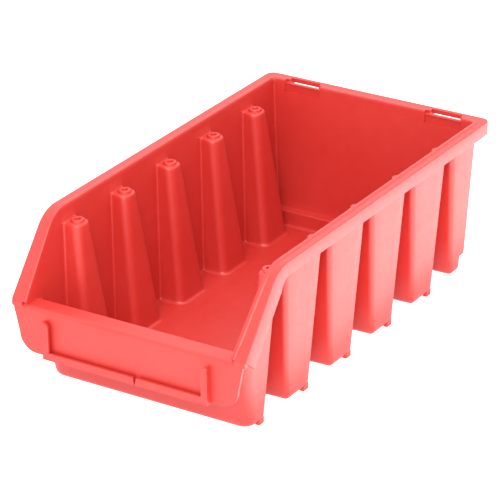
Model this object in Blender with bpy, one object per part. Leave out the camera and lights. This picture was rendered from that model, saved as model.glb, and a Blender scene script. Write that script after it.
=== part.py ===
"""Stackable open-front storage bin: a drafted tub with ribbed side walls, a turned-down rim and a label holder.

The bin stands on its feet with +Z up. Its open front faces -Y and its rear wall faces +Y. The origin is at the
middle of the footprint, on the surface that the feet stand on. The real bin is one moulding, so every
named region of it is a solid of its own here, with a joint gap to its neighbours.
"""
import math

import bmesh
import bpy

# Overall size
LENGTH = 0.2120
WIDTH = 0.1185
HEIGHT = 0.0741

# Sheet thicknesses and the gap between neighbouring solids
WALL = 0.0016
GAP = 0.0003

# Side walls: outer face at height zero, and how far it leans out for each metre of height
SIDE_FOOT = 0.0508
SIDE_LEAN = 0.061
SIDE_CORNER = 0.0026

# Rear wall with the stacking step near its foot
REAR_FOOT = 0.0976
REAR_LEAN = 0.050
STEP_HEIGHT = 0.0104
STEP_DEPTH = 0.0040
STEP_CORNER = 0.0024

# Low front wall and its shelf
FRONT_FOOT = 0.0884
FRONT_LEAN = 0.195
FRONT_CORNER = 0.0060
SHELF_TOP = 0.0406
PLATE_FRONT = 0.1036

# Floor
UNDERSIDE = 0.0012

# Rim: a flange with a turned-down lip
LIP_DEPTH = 0.0066
SKIRT_DEPTH = 0.0093
RIM_CORNER = 0.0060

# The rim's dip to the front
DIP_START = 0.0771
DIP_END_HEIGHT = 0.0416
DIP_RADIUS = 0.0160
DIP_STEPS = 6

# Ribs
RIB_COUNT = 5
RIB_PITCH = 0.03575
RIB_MIDDLE = 0.0046
RIB_TOP = 0.0668
RIB_FACE_FOOT = 0.0376
RIB_FACE_LEAN = 0.117
RIB_FOOT_MOUTH = 0.0106
RIB_TOP_MOUTH = 0.0051
RIB_FOOT_FACE = 0.0100
RIB_TOP_FACE = 0.0050
RIB_WALL = 0.0014
BOSS_X = 0.0487
BOSS_RADIUS = 0.0030
BOSS_BORE = 0.0014
BOSS_HEIGHT = 0.0011
BOSS_BACK = -0.0006
BOSS_SIDES = 20

# Feet
FOOT_LENGTH = 0.0038
FOOT_WIDTH = 0.0024
FOOT_TAPER = 0.0004
FOOT_REAR = 0.0097

# Hanging slots in the rear rim
SLOT_INNER = 0.0299
SLOT_OUTER = 0.0457
SLOT_FRONT = 0.1013
SLOT_REAR = 0.1039
BAR_BOTTOM = 0.0717

# Label holder
PLATE_BOTTOM = 0.0191
PLATE_SHOULDER = 0.0290
PLATE_HALF_TOP = 0.0583
PLATE_HALF_SHOULDER = 0.0552
PLATE_CORNER = 0.0085
STRIP_INNER = 0.0386
STRIP_OUTER = 0.0418
STRIP_TOP = 0.0362
STRIP_LEAF = 0.0013
STRIP_WEB = 0.0012
SILL_BOTTOM = 0.0188
SILL_TOP = 0.0222
BREAK_X = 0.0053
BREAK_HALF = 0.0008

ARC_STEPS = 5
RED = (0.68, 0.045, 0.035, 1.0)


def clear_scene():
    """Remove every object that the file starts with."""
    for old in list(bpy.data.objects):
        bpy.data.objects.remove(old, do_unlink=True)


def red_plastic(name):
    """Return a plain red moulded plastic material."""
    material = bpy.data.materials.new(name)
    material.use_nodes = True
    shader = material.node_tree.nodes["Principled BSDF"]
    shader.inputs["Base Color"].default_value = RED
    shader.inputs["Roughness"].default_value = 0.42
    shader.inputs["Metallic"].default_value = 0.0
    return material


def side_out(z):
    """Outer face of a side wall at height z."""
    return SIDE_FOOT + SIDE_LEAN * z


def side_in(z):
    """Inner face of a side wall at height z."""
    return side_out(z) - WALL


def rear_out(z):
    """Outer face of the rear wall at height z, above the step."""
    return REAR_FOOT + REAR_LEAN * z


def step_near():
    """Front edge of the stacking step."""
    return REAR_FOOT - STEP_DEPTH - WALL + REAR_LEAN * (STEP_HEIGHT - WALL)


def front_out(z):
    """Outer face of the front wall at height z."""
    return -FRONT_FOOT - FRONT_LEAN * (z - UNDERSIDE)


def rib_share(z):
    """Share of the way from the underside to the rib's top."""
    return (z - UNDERSIDE) / (RIB_TOP - UNDERSIDE)


def rib_mouth(z):
    """Half width of a rib where it leaves the wall's outer face."""
    return RIB_FOOT_MOUTH + (RIB_TOP_MOUTH - RIB_FOOT_MOUTH) * rib_share(z)


def rib_face(z):
    """Half width of a rib's inner face."""
    return RIB_FOOT_FACE + (RIB_TOP_FACE - RIB_FOOT_FACE) * rib_share(z)


def rib_face_x(z):
    """Distance of a rib's inner face from the middle of the bin."""
    return RIB_FACE_FOOT + RIB_FACE_LEAN * z


def rib_centre(index):
    """Centre of a rib, counted from 0 at the front."""
    return RIB_MIDDLE + RIB_PITCH * (index - (RIB_COUNT - 1) / 2)


def arc(cx, cy, radius, start, stop, steps=ARC_STEPS):
    """Points on an arc, angles in degrees."""
    points = []
    for step in range(steps + 1):
        angle = math.radians(start + (stop - start) * step / steps)
        points.append((cx + radius * math.cos(angle), cy + radius * math.sin(angle)))
    return points


def make_object(name, bm, smooth=False):
    """Turn a bmesh into a named object with outward faces and its own material."""
    bmesh.ops.recalc_face_normals(bm, faces=bm.faces)
    mesh = bpy.data.meshes.new(name)
    bm.to_mesh(mesh)
    bm.free()
    if smooth:
        mesh.shade_smooth()
        mesh.set_sharp_from_angle(angle=math.radians(40))
    obj = bpy.data.objects.new(name, mesh)
    bpy.context.scene.collection.objects.link(obj)
    mesh.materials.append(red_plastic(name))
    return obj


def loft(name, loops, smooth=False):
    """Make a closed solid through loops that have the same number of points."""
    bm = bmesh.new()
    rings = [[bm.verts.new(point) for point in loop] for loop in loops]
    bm.faces.new(list(reversed(rings[0])))
    bm.faces.new(rings[-1])
    count = len(rings[0])
    for low, high in zip(rings, rings[1:]):
        for i in range(count):
            j = (i + 1) % count
            bm.faces.new((low[i], low[j], high[j], high[i]))
    return make_object(name, bm, smooth)


def mirrored(points, side):
    """Put points that were laid out on the right side on the given side, +1 right or -1 left."""
    return [(side * x, y, z) for x, y, z in points]


def side_sheet(name, side, outline):
    """Make a stretch of side wall from its outline in Y and Z."""
    outer = [(side_out(z), y, z) for y, z in outline]
    inner = [(side_in(z), y, z) for y, z in outline]
    return loft(name, [mirrored(inner, side), mirrored(outer, side)])


def corner_shell(name, side, centre_y, radius, angles, bottom, top):
    """Make a rounded upright corner between two heights; centre_y gives its centre's Y at a height."""
    loops = []
    for z in (bottom, top):
        cx = side_out(z) - radius
        cy = centre_y(z)
        outer = arc(cx, cy, radius, *angles)
        inner = arc(cx, cy, radius - WALL, *angles)
        ring = [(x, y, z) for x, y in outer + list(reversed(inner))]
        loops.append(mirrored(ring, side))
    return loft(name, loops, smooth=True)


def cut(target, cutter, operation="DIFFERENCE"):
    """Apply a Boolean with a guide object that stays out of the build."""
    modifier = target.modifiers.new("cut", "BOOLEAN")
    modifier.operation = operation
    modifier.solver = "EXACT"
    modifier.object = cutter
    cutter.hide_render = True
    cutter.display_type = "WIRE"


def block(name, low, high):
    """Make a box between two corners."""
    x0, y0, z0 = low
    x1, y1, z1 = high
    loops = [[(x0, y0, z), (x1, y0, z), (x1, y1, z), (x0, y1, z)] for z in (z0, z1)]
    return loft(name, loops)


def dip_direction():
    """Unit vector down the dip, in Y and Z."""
    run = PLATE_FRONT - DIP_START
    drop = HEIGHT - DIP_END_HEIGHT
    size = math.hypot(run, drop)
    return -run / size, -drop / size


def dip_stations():
    """Points along the rim's top from the bend to the dip's straight, each with its outward normal."""
    dy, dz = dip_direction()
    bend = math.atan2(-dz, -dy)
    tangent = DIP_RADIUS * math.tan(bend / 2)
    centre_y = -DIP_START + tangent
    stations = []
    for step in range(DIP_STEPS + 1):
        angle = bend * step / DIP_STEPS
        ny, nz = -math.sin(angle), math.cos(angle)
        stations.append((centre_y + DIP_RADIUS * ny, HEIGHT - DIP_RADIUS + DIP_RADIUS * nz, ny, nz))
    return stations


def along_dip(y, z, target_y):
    """Slide a point down the dip until it reaches target_y."""
    dy, dz = dip_direction()
    step = (target_y - y) / dy
    return target_y, z + dz * step


def build_floor():
    """The floor, notched where the ribs stand."""
    top = UNDERSIDE + WALL
    rear = REAR_FOOT - STEP_DEPTH - WALL - GAP
    front = front_out(UNDERSIDE) + WALL + GAP
    edge = side_in(UNDERSIDE) - GAP
    rib_x = rib_face_x(UNDERSIDE) - GAP
    radius = FRONT_CORNER - WALL
    right = arc(edge - radius, front + radius, radius, -90, 0)
    for index in range(RIB_COUNT):
        centre = rib_centre(index)
        mouth = rib_mouth(UNDERSIDE) + GAP
        face = rib_face(UNDERSIDE) + GAP
        right += [(edge, centre - mouth), (rib_x, centre - face), (rib_x, centre + face), (edge, centre + mouth)]
    rear_radius = STEP_CORNER - WALL
    right += arc(edge - rear_radius, rear - rear_radius, rear_radius, 0, 90)
    left = [(-x, y) for x, y in reversed(right)]
    outline = right + left
    loft("floor_panel", [[(x, y, z) for x, y in outline] for z in (UNDERSIDE, top)])


def panel_outline(index):
    """Outline of the wall panel in front of rib number index; the last one ends at the rear corner."""
    under_rim = HEIGHT - WALL - GAP
    over_rib = RIB_TOP + GAP
    outline = []
    if index > 0:
        centre = rib_centre(index - 1)
        outline += [(centre + GAP / 2, under_rim), (centre + GAP / 2, over_rib)]
        outline += [(centre + rib_mouth(over_rib) + GAP, over_rib)]
        outline += [(centre + rib_mouth(UNDERSIDE) + GAP, UNDERSIDE)]
    if index < RIB_COUNT:
        centre = rib_centre(index)
        outline += [(centre - rib_mouth(UNDERSIDE) - GAP, UNDERSIDE)]
        outline += [(centre - rib_mouth(over_rib) - GAP, over_rib)]
        outline += [(centre - GAP / 2, over_rib), (centre - GAP / 2, under_rim)]
    return outline


def cheek_outline():
    """Outline of the front panel: the stretch from the front corner to rib 0, with the cheek above the shelf."""
    shelf_under = SHELF_TOP - WALL - GAP
    tip = -PLATE_FRONT + WALL + GAP
    drop = WALL + GAP
    outline = []
    for y, z, ny, nz in dip_stations():
        outline.append((y - ny * drop, z - nz * drop))
    y, z = outline[-1]
    outline.append(along_dip(y, z, tip))
    outline.append((tip, shelf_under))
    corner = front_out(shelf_under) + FRONT_CORNER + GAP
    outline.append((corner, shelf_under))
    outline.append((front_out(UNDERSIDE) + FRONT_CORNER + GAP, UNDERSIDE))
    return outline + panel_outline(0)


def rear_panel_outline():
    """Outline of the rearmost panel, which steps forward under the stacking step."""
    under_rim = HEIGHT - WALL - GAP
    step_under = STEP_HEIGHT - WALL
    low = REAR_FOOT - STEP_DEPTH - STEP_CORNER - GAP
    outline = panel_outline(RIB_COUNT)
    over_step = STEP_HEIGHT + GAP
    ledge = step_near() - GAP
    outline += [(low, UNDERSIDE), (low, step_under), (ledge, step_under), (ledge, over_step)]
    outline += [(rear_out(over_step) - SIDE_CORNER - GAP, over_step)]
    outline += [(rear_out(under_rim) - SIDE_CORNER - GAP, under_rim)]
    return outline


def build_panels(side, word):
    """The six outer panels of one side wall."""
    side_sheet(f"{word}_panel_1", side, cheek_outline())
    for index in range(1, RIB_COUNT):
        side_sheet(f"{word}_panel_{index + 1}", side, panel_outline(index))
    side_sheet(f"{word}_panel_{RIB_COUNT + 1}", side, rear_panel_outline())


def rib_loop(centre, z, inset, mouth_x):
    """Plan outline of a rib at height z, moved in by inset from its visible faces."""
    mouth = rib_mouth(z) - inset
    face = rib_face(z) - inset
    face_x = rib_face_x(z) + inset
    return [(mouth_x, centre - mouth, z), (face_x, centre - face, z), (face_x, centre + face, z),
            (mouth_x, centre + mouth, z)]


def build_rib(side, word, index):
    """A hollow tapered rib, open outwards and below, with a ring boss on its cap."""
    centre = rib_centre(index)
    name = f"{word}_rib_{index + 1}"
    body = [rib_loop(centre, z, 0.0, side_out(z)) for z in (UNDERSIDE, RIB_TOP)]
    rib = loft(name, [mirrored(loop, side) for loop in body])
    spill = 0.004
    low = UNDERSIDE - spill
    high = RIB_TOP - WALL
    hollow = [rib_loop(centre, z, RIB_WALL, side_out(z) + spill) for z in (low, high)]
    cut(rib, loft(f"{name}_hollow", [mirrored(loop, side) for loop in hollow]))
    circle = arc(side * BOSS_X, centre + BOSS_BACK, BOSS_RADIUS, 0, 360, BOSS_SIDES)[:-1]
    base = RIB_TOP - WALL / 2
    crown = RIB_TOP + BOSS_HEIGHT
    boss = loft(f"{name}_boss", [[(x, y, z) for x, y in circle] for z in (base, crown)])
    cut(rib, boss, "UNION")
    circle = arc(side * BOSS_X, centre + BOSS_BACK, BOSS_BORE, 0, 360, BOSS_SIDES)[:-1]
    bore = loft(f"{name}_bore", [[(x, y, z) for x, y in circle] for z in (RIB_TOP, crown + spill)])
    cut(rib, bore)


def build_foot(side, word, index):
    """A small foot at the rear end of a panel, just in front of a rib."""
    rear = rib_centre(index) - FOOT_REAR
    outer = side_out(0.0)
    loops = []
    for z, taper in ((0.0, FOOT_TAPER), (UNDERSIDE - GAP, 0.0)):
        x0, x1 = outer - FOOT_WIDTH + taper, outer - taper
        y0, y1 = rear - FOOT_LENGTH + taper, rear - taper
        loops.append(mirrored([(x0, y0, z), (x1, y0, z), (x1, y1, z), (x0, y1, z)], side))
    loft(f"{word}_foot_{index + 1}", loops)


def build_rear():
    """The rear wall, the step under it and the short wall below the step."""
    under_rim = HEIGHT - WALL - GAP
    foot = STEP_HEIGHT + GAP
    outline = [(side_out(foot) - SIDE_CORNER - GAP, foot), (side_out(under_rim) - SIDE_CORNER - GAP, under_rim)]
    outline += [(-x, z) for x, z in reversed(outline)]
    inner = [(x, rear_out(z) - WALL, z) for x, z in outline]
    outer = [(x, rear_out(z), z) for x, z in outline]
    loft("rear_wall", [inner, outer])

    bottom, top = STEP_HEIGHT - WALL, STEP_HEIGHT
    near = step_near()
    cx = side_out(bottom) - SIDE_CORNER
    cy = rear_out(bottom) - SIDE_CORNER
    right = [(side_out(bottom), near)] + arc(cx, cy, SIDE_CORNER, 0, 90)
    outline = right + [(-x, y) for x, y in reversed(right)]
    loft("rear_step", [[(x, y, z) for x, y in outline] for z in (bottom, top)], smooth=True)

    loops = []
    for z in (UNDERSIDE, STEP_HEIGHT - WALL - GAP):
        cx = side_out(z) - STEP_CORNER
        cy = REAR_FOOT - STEP_DEPTH + REAR_LEAN * z - STEP_CORNER
        outer = arc(cx, cy, STEP_CORNER, 0, 90)
        inner = arc(cx, cy, STEP_CORNER - WALL, 0, 90)
        outer += [(-x, y) for x, y in reversed(outer)]
        inner += [(-x, y) for x, y in reversed(inner)]
        loops.append([(x, y, z) for x, y in outer + list(reversed(inner))])
    loft("rear_foot_wall", loops, smooth=True)


def build_front():
    """The low front wall and the shelf on top of it."""
    under = SHELF_TOP - WALL - GAP
    outline = [(side_out(z) - FRONT_CORNER - GAP, z) for z in (UNDERSIDE, under)]
    outline += [(-x, z) for x, z in reversed(outline)]
    outer = [(x, front_out(z), z) for x, z in outline]
    inner = [(x, front_out(z) + WALL, z) for x, z in outline]
    loft("front_wall", [outer, inner])
    half = side_in(SHELF_TOP - WALL) - GAP
    rear = front_out(SHELF_TOP) + WALL
    block("front_shelf", (-half, -PLATE_FRONT + WALL + GAP, SHELF_TOP - WALL), (half, rear, SHELF_TOP))


def build_corners(side, word):
    """The upright corners of one side."""
    corner_shell(f"{word}_rear_corner", side, lambda z: rear_out(z) - SIDE_CORNER, SIDE_CORNER, (0, 90),
                 STEP_HEIGHT + GAP, HEIGHT - WALL - GAP)
    corner_shell(f"{word}_front_corner", side, lambda z: front_out(z) + FRONT_CORNER, FRONT_CORNER, (-90, 0),
                 UNDERSIDE, SHELF_TOP - WALL - GAP)


def rim_section(depth):
    """Flange and lip as distances from the outer edge and down from the top."""
    width = WIDTH / 2 - side_in(HEIGHT)
    return [(width, 0.0), (0.0, 0.0), (0.0, depth), (WALL, depth), (WALL, WALL), (width, WALL)]


def build_side_rim(side, word):
    """The straight side rim, the rim down the dip and the rear corner of the rim."""
    section = rim_section(LIP_DEPTH)
    edge = WIDTH / 2
    stations = dip_stations()
    front = stations[0][0] + GAP
    rear = LENGTH / 2 - RIM_CORNER - GAP
    loops = [mirrored([(edge - a, y, HEIGHT - b) for a, b in section], side) for y in (front, rear)]
    loft(f"{word}_rim", loops)

    loops = []
    for number, (y, z, ny, nz) in enumerate(stations):
        share = number / DIP_STEPS
        depth = LIP_DEPTH + (SKIRT_DEPTH - LIP_DEPTH) * share
        loops.append([(edge - a, y - ny * b, z - nz * b) for a, b in rim_section(depth)])
    tip = -PLATE_FRONT + WALL + GAP
    last = [(x, *along_dip(y, z, tip)) for x, y, z in loops[-1]]
    loft(f"{word}_dip_rim", [mirrored(loop, side) for loop in loops + [last]])

    centre = (edge - RIM_CORNER, LENGTH / 2 - RIM_CORNER)
    loops = []
    for step in range(ARC_STEPS + 1):
        angle = math.radians(90 * step / ARC_STEPS)
        loop = [(centre[0] + (RIM_CORNER - a) * math.cos(angle), centre[1] + (RIM_CORNER - a) * math.sin(angle),
                 HEIGHT - b) for a, b in section]
        loops.append(mirrored(loop, side))
    loft(f"{word}_rim_corner", loops)


def build_rear_rim():
    """The rear rim with two hanging slots, each closed outside by a thin bar."""
    half = WIDTH / 2 - RIM_CORNER - GAP
    loops = [[(x, LENGTH / 2 - a, HEIGHT - b) for a, b in rim_section(LIP_DEPTH)] for x in (-half, half)]
    rim = loft("rear_rim", loops)
    spill = 0.002
    for side, word in ((1, "right"), (-1, "left")):
        x0, x1 = sorted((side * SLOT_INNER, side * SLOT_OUTER))
        slot = block(f"{word}_slot", (x0, SLOT_FRONT, HEIGHT - LIP_DEPTH - spill), (x1, SLOT_REAR, HEIGHT + spill))
        cut(rim, slot)
        window = block(f"{word}_window", (x0, SLOT_REAR - spill / 2, HEIGHT - LIP_DEPTH - spill),
                       (x1, LENGTH / 2 + spill, BAR_BOTTOM))
        cut(rim, window)


def plate_outline():
    """Outline of the label plate in X and Z, with rounded lower corners and ears under the dipping rim."""
    ear = SHELF_TOP + 0.0015
    ear_inner = side_in(SHELF_TOP)
    right = [(PLATE_HALF_SHOULDER, PLATE_SHOULDER), (PLATE_HALF_TOP, SHELF_TOP), (PLATE_HALF_TOP, ear)]
    right += [(ear_inner, ear), (ear_inner, SHELF_TOP)]
    lean = math.degrees(math.atan2(PLATE_HALF_TOP - PLATE_HALF_SHOULDER, SHELF_TOP - PLATE_SHOULDER))
    corner = arc(PLATE_HALF_SHOULDER - PLATE_CORNER, PLATE_BOTTOM + PLATE_CORNER, PLATE_CORNER, -90, -lean)
    right = corner + right
    return right + [(-x, z) for x, z in reversed(right)]


def build_label_holder():
    """The plate under the shelf and the strips that hold a label against it."""
    outline = plate_outline()
    back = -PLATE_FRONT + WALL
    loft("label_plate", [[(x, y, z) for x, z in outline] for y in (back, -PLATE_FRONT)])
    front = -LENGTH / 2
    leaf = front + STRIP_LEAF
    foot = -PLATE_FRONT - GAP
    for side, word in ((1, "right"), (-1, "left")):
        section = [(STRIP_INNER, front), (STRIP_OUTER, front), (STRIP_OUTER, foot)]
        section += [(STRIP_OUTER - STRIP_WEB, foot), (STRIP_OUTER - STRIP_WEB, leaf), (STRIP_INNER, leaf)]
        loops = [[(side * x, y, z) for x, y in section] for z in (SILL_TOP + GAP, STRIP_TOP)]
        loft(f"{word}_label_guide", loops)
    section = [(SILL_TOP, front), (SILL_BOTTOM, front), (SILL_BOTTOM, foot)]
    section += [(SILL_BOTTOM + STRIP_WEB, foot), (SILL_BOTTOM + STRIP_WEB, leaf), (SILL_TOP, leaf)]
    spans = {"left": (-STRIP_OUTER, BREAK_X - BREAK_HALF), "right": (BREAK_X + BREAK_HALF, STRIP_OUTER)}
    for word, span in spans.items():
        loft(f"{word}_label_sill", [[(x, y, z) for z, y in section] for x in span])


def main():
    """Build every region of the bin."""
    clear_scene()
    build_floor()
    for side, word in ((1, "right"), (-1, "left")):
        build_panels(side, word)
        build_corners(side, word)
        build_side_rim(side, word)
        for index in range(RIB_COUNT):
            build_rib(side, word, index)
            build_foot(side, word, index)
    build_rear()
    build_rear_rim()
    build_front()
    build_label_holder()


main()
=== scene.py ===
"""Stackable open-front storage bin moulded in red polypropylene.

The bin is one moulding. It is drawn here as a few closed solids that sink into one another: the tub with
its ribbed walls, the rim that turns down outside it, the shelf and label plate over the low front, the
label's guides and sills, the feet, and a ring boss on every rib. Lengths in the classes are millimetres in
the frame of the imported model: +Z up, the open front towards -Y, the origin in the middle of the footprint
on the ground.
"""
from __future__ import annotations

import logging
import math
from dataclasses import dataclass, field
from enum import Enum
from typing import ClassVar, Iterable, Sequence, Union

import bmesh
import bpy
from mathutils import Matrix, Vector


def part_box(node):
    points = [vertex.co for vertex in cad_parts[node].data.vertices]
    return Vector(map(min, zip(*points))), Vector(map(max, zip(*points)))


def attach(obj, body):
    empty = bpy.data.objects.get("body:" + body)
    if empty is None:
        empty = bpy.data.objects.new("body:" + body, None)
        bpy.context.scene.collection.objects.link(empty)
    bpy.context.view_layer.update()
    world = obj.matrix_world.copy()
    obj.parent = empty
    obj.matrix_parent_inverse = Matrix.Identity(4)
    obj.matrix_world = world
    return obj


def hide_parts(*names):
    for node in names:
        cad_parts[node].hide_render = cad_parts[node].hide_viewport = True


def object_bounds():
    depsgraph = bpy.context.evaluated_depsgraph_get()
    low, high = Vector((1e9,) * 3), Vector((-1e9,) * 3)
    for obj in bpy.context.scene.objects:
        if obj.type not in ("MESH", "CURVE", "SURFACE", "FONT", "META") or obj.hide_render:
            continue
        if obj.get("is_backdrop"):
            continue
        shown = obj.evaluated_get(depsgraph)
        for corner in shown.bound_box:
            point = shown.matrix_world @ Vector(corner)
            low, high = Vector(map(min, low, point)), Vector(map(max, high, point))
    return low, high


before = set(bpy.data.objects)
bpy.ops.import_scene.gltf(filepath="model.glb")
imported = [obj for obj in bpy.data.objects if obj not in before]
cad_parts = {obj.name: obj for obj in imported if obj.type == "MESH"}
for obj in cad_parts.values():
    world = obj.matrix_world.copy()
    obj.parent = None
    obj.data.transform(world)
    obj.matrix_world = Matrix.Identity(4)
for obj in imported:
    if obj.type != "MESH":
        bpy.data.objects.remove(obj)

LOG = logging.getLogger("storage_bin")

MM = 0.001
CREASE_DEGREES = 38.0
LEAST_RADIUS = 0.3
BODY = "root"

Point2 = tuple[float, float]
Point3 = tuple[float, float, float]
Number = Union[int, float]


class Side(Enum):
    """One long side of the bin, by the sign of its X."""

    RIGHT = 1
    LEFT = -1

    @property
    def word(self) -> str:
        """The side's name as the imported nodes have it."""
        return self.name.lower()


class Edge(Enum):
    """Which edge of the rim a section point keeps its distance from."""

    WALL = "wall"
    OUTSIDE = "outside"


def node_box(node: str) -> tuple[Vector, Vector]:
    """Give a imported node's lowest and highest corners in millimetres.

    Args:
        node: The node's name.

    Returns:
        The lowest and the highest corner.
    """
    low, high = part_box(node)
    return Vector(low) / MM, Vector(high) / MM


def mix(a: float, b: float, share: float) -> float:
    """Blend between two numbers.

    Args:
        a: The number at share 0.
        b: The number at share 1.
        share: How far to go from a to b.

    Returns:
        The blend.
    """
    return a + (b - a) * share


def fillet(before: Point2, corner: Point2, after: Point2, radius: float, steps: int) -> list[Point2]:
    """Round the corner of a plan outline.

    Args:
        before: The outline's point before the corner.
        corner: The corner itself.
        after: The outline's point after the corner.
        radius: The rounding's radius.
        steps: How many pieces the rounding has.

    Returns:
        The points of the arc that stands for the corner.
    """
    origin = Vector(corner)
    back = (Vector(before) - origin).normalized()
    ahead = (Vector(after) - origin).normalized()
    half = back.angle(ahead) / 2
    reach = radius / math.tan(half)
    start = origin + back * reach
    centre = origin + (back + ahead).normalized() * (radius / math.sin(half))
    spoke = start - centre
    sweep = math.pi - 2 * half
    if back.cross(ahead) > 0:
        sweep = -sweep
    points = []
    for step in range(steps + 1):
        turned = Matrix.Rotation(sweep * step / steps, 2) @ spoke
        points.append((centre.x + turned.x, centre.y + turned.y))
    return points


@dataclass
class Shell:
    """A sheet of even build: every point has a place on both faces, and the edges are closed between them."""

    inner: list[Point3] = field(default_factory=list)
    outer: list[Point3] = field(default_factory=list)
    faces: list[tuple[int, ...]] = field(default_factory=list)

    def point(self, inner: Point3, outer: Point3) -> int:
        """Add a point.

        Args:
            inner: Its place on the inner face.
            outer: Its place on the outer face.

        Returns:
            The point's number.
        """
        self.inner.append(inner)
        self.outer.append(outer)
        return len(self.inner) - 1

    def row(self, pairs: Iterable[tuple[Point3, Point3]]) -> list[int]:
        """Add a row of points.

        Args:
            pairs: Each point's place on the inner and on the outer face.

        Returns:
            The points' numbers.
        """
        return [self.point(inner, outer) for inner, outer in pairs]

    def strip(self, low: Sequence[int], high: Sequence[int]) -> None:
        """Fill the strip between two rows of points.

        Args:
            low: The numbers of one row.
            high: The numbers of the next row, as many.
        """
        for i in range(len(low) - 1):
            self.faces.append((low[i], low[i + 1], high[i + 1], high[i]))

    def mirror(self) -> None:
        """Add the left half as the mirror image of the right half."""
        twin = {}
        for number in range(len(self.inner)):
            inner, outer = self.inner[number], self.outer[number]
            if abs(inner[0]) < 1e-6 and abs(outer[0]) < 1e-6:
                twin[number] = number
                continue
            twin[number] = self.point((-inner[0], inner[1], inner[2]), (-outer[0], outer[1], outer[2]))
        self.faces += [tuple(twin[v] for v in reversed(face)) for face in list(self.faces)]

    def solid(self, name: str) -> bpy.types.Object:
        """Close the sheet into one solid.

        Args:
            name: The new object's name.

        Returns:
            The object, linked to the scene.
        """
        bm = bmesh.new()
        inside = [bm.verts.new(Vector(p) * MM) for p in self.inner]
        outside = [bm.verts.new(Vector(p) * MM) for p in self.outer]
        uses: dict[tuple[int, int], int] = {}
        for face in self.faces:
            bm.faces.new([inside[v] for v in face])
            bm.faces.new([outside[v] for v in reversed(face)])
            for a, b in zip(face, face[1:] + face[:1]):
                uses[(a, b)] = uses.get((a, b), 0) + 1
        for a, b in uses:
            if (b, a) not in uses:
                bm.faces.new((inside[b], inside[a], outside[a], outside[b]))
        return finish_mesh(name, bm)


def finish_mesh(name: str, bm: bmesh.types.BMesh, angle: float = CREASE_DEGREES) -> bpy.types.Object:
    """Turn a bmesh into a smooth-shaded object with sharp creases.

    Args:
        name: The new object's name.
        bm: The mesh, which is freed.
        angle: Edges sharper than this many degrees stay crisp.

    Returns:
        The object, linked to the scene.
    """
    bmesh.ops.remove_doubles(bm, verts=bm.verts, dist=1e-7)
    bmesh.ops.recalc_face_normals(bm, faces=bm.faces)
    mesh = bpy.data.meshes.new(name)
    bm.to_mesh(mesh)
    bm.free()
    mesh.shade_smooth()
    mesh.set_sharp_from_angle(angle=math.radians(angle))
    obj = bpy.data.objects.new(name, mesh)
    bpy.context.scene.collection.objects.link(obj)
    return obj


def loft(name: str, loops: Sequence[Sequence[Point3]], angle: float = CREASE_DEGREES) -> bpy.types.Object:
    """Make a closed solid through loops of equal count.

    Args:
        name: The new object's name.
        loops: The loops, each closed, in millimetres.
        angle: Edges sharper than this many degrees stay crisp.

    Returns:
        The object.
    """
    bm = bmesh.new()
    rings = [[bm.verts.new(Vector(p) * MM) for p in loop] for loop in loops]
    bm.faces.new(list(reversed(rings[0])))
    bm.faces.new(rings[-1])
    for low, high in zip(rings, rings[1:]):
        for i, vert in enumerate(low):
            j = (i + 1) % len(low)
            bm.faces.new((vert, low[j], high[j], high[i]))
    return finish_mesh(name, bm, angle)


def soften(obj: bpy.types.Object, width: float, segments: int = 2) -> None:
    """Round an object's crisp edges and apply it to the mesh.

    Args:
        obj: The object.
        width: The rounding's width in millimetres.
        segments: How many pieces the rounding has.
    """
    bevel = obj.modifiers.new("moulded edge", "BEVEL")
    bevel.width = width * MM
    bevel.segments = segments
    bevel.limit_method = "ANGLE"
    bevel.angle_limit = math.radians(35)
    bevel.harden_normals = True
    bake_modifiers(obj)


def bake_modifiers(obj: bpy.types.Object) -> None:
    """Replace an object's mesh with what its modifiers make of it.

    Args:
        obj: The object, which loses its modifiers.
    """
    graph = bpy.context.evaluated_depsgraph_get()
    graph.update()
    mesh = bpy.data.meshes.new_from_object(obj.evaluated_get(graph))
    old = obj.data
    obj.modifiers.clear()
    obj.data = mesh
    bpy.data.meshes.remove(old)
    mesh.name = obj.name


def carve(obj: bpy.types.Object, cutters: Sequence[bpy.types.Object]) -> None:
    """Cut solids out of an object and remove them.

    Args:
        obj: The object to cut.
        cutters: The solids to take away.
    """
    for cutter in cutters:
        modifier = obj.modifiers.new("cut", "BOOLEAN")
        modifier.operation = "DIFFERENCE"
        modifier.solver = "EXACT"
        modifier.object = cutter
    bake_modifiers(obj)
    obj.data.shade_smooth()
    obj.data.set_sharp_from_angle(angle=math.radians(30))
    for cutter in cutters:
        bpy.data.objects.remove(cutter, do_unlink=True)


def block(name: str, low: Point3, high: Point3) -> bpy.types.Object:
    """Make a plain block, for cutting.

    Args:
        name: The new object's name.
        low: Its lowest corner in millimetres.
        high: Its highest corner.

    Returns:
        The block.
    """
    corners = [(low[0], low[1]), (high[0], low[1]), (high[0], high[1]), (low[0], high[1])]
    return loft(name, [[(x, y, z) for x, y in corners] for z in (low[2], high[2])])


# --------------------------------------------------------------------------------------------------
# Finish
# --------------------------------------------------------------------------------------------------


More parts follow.
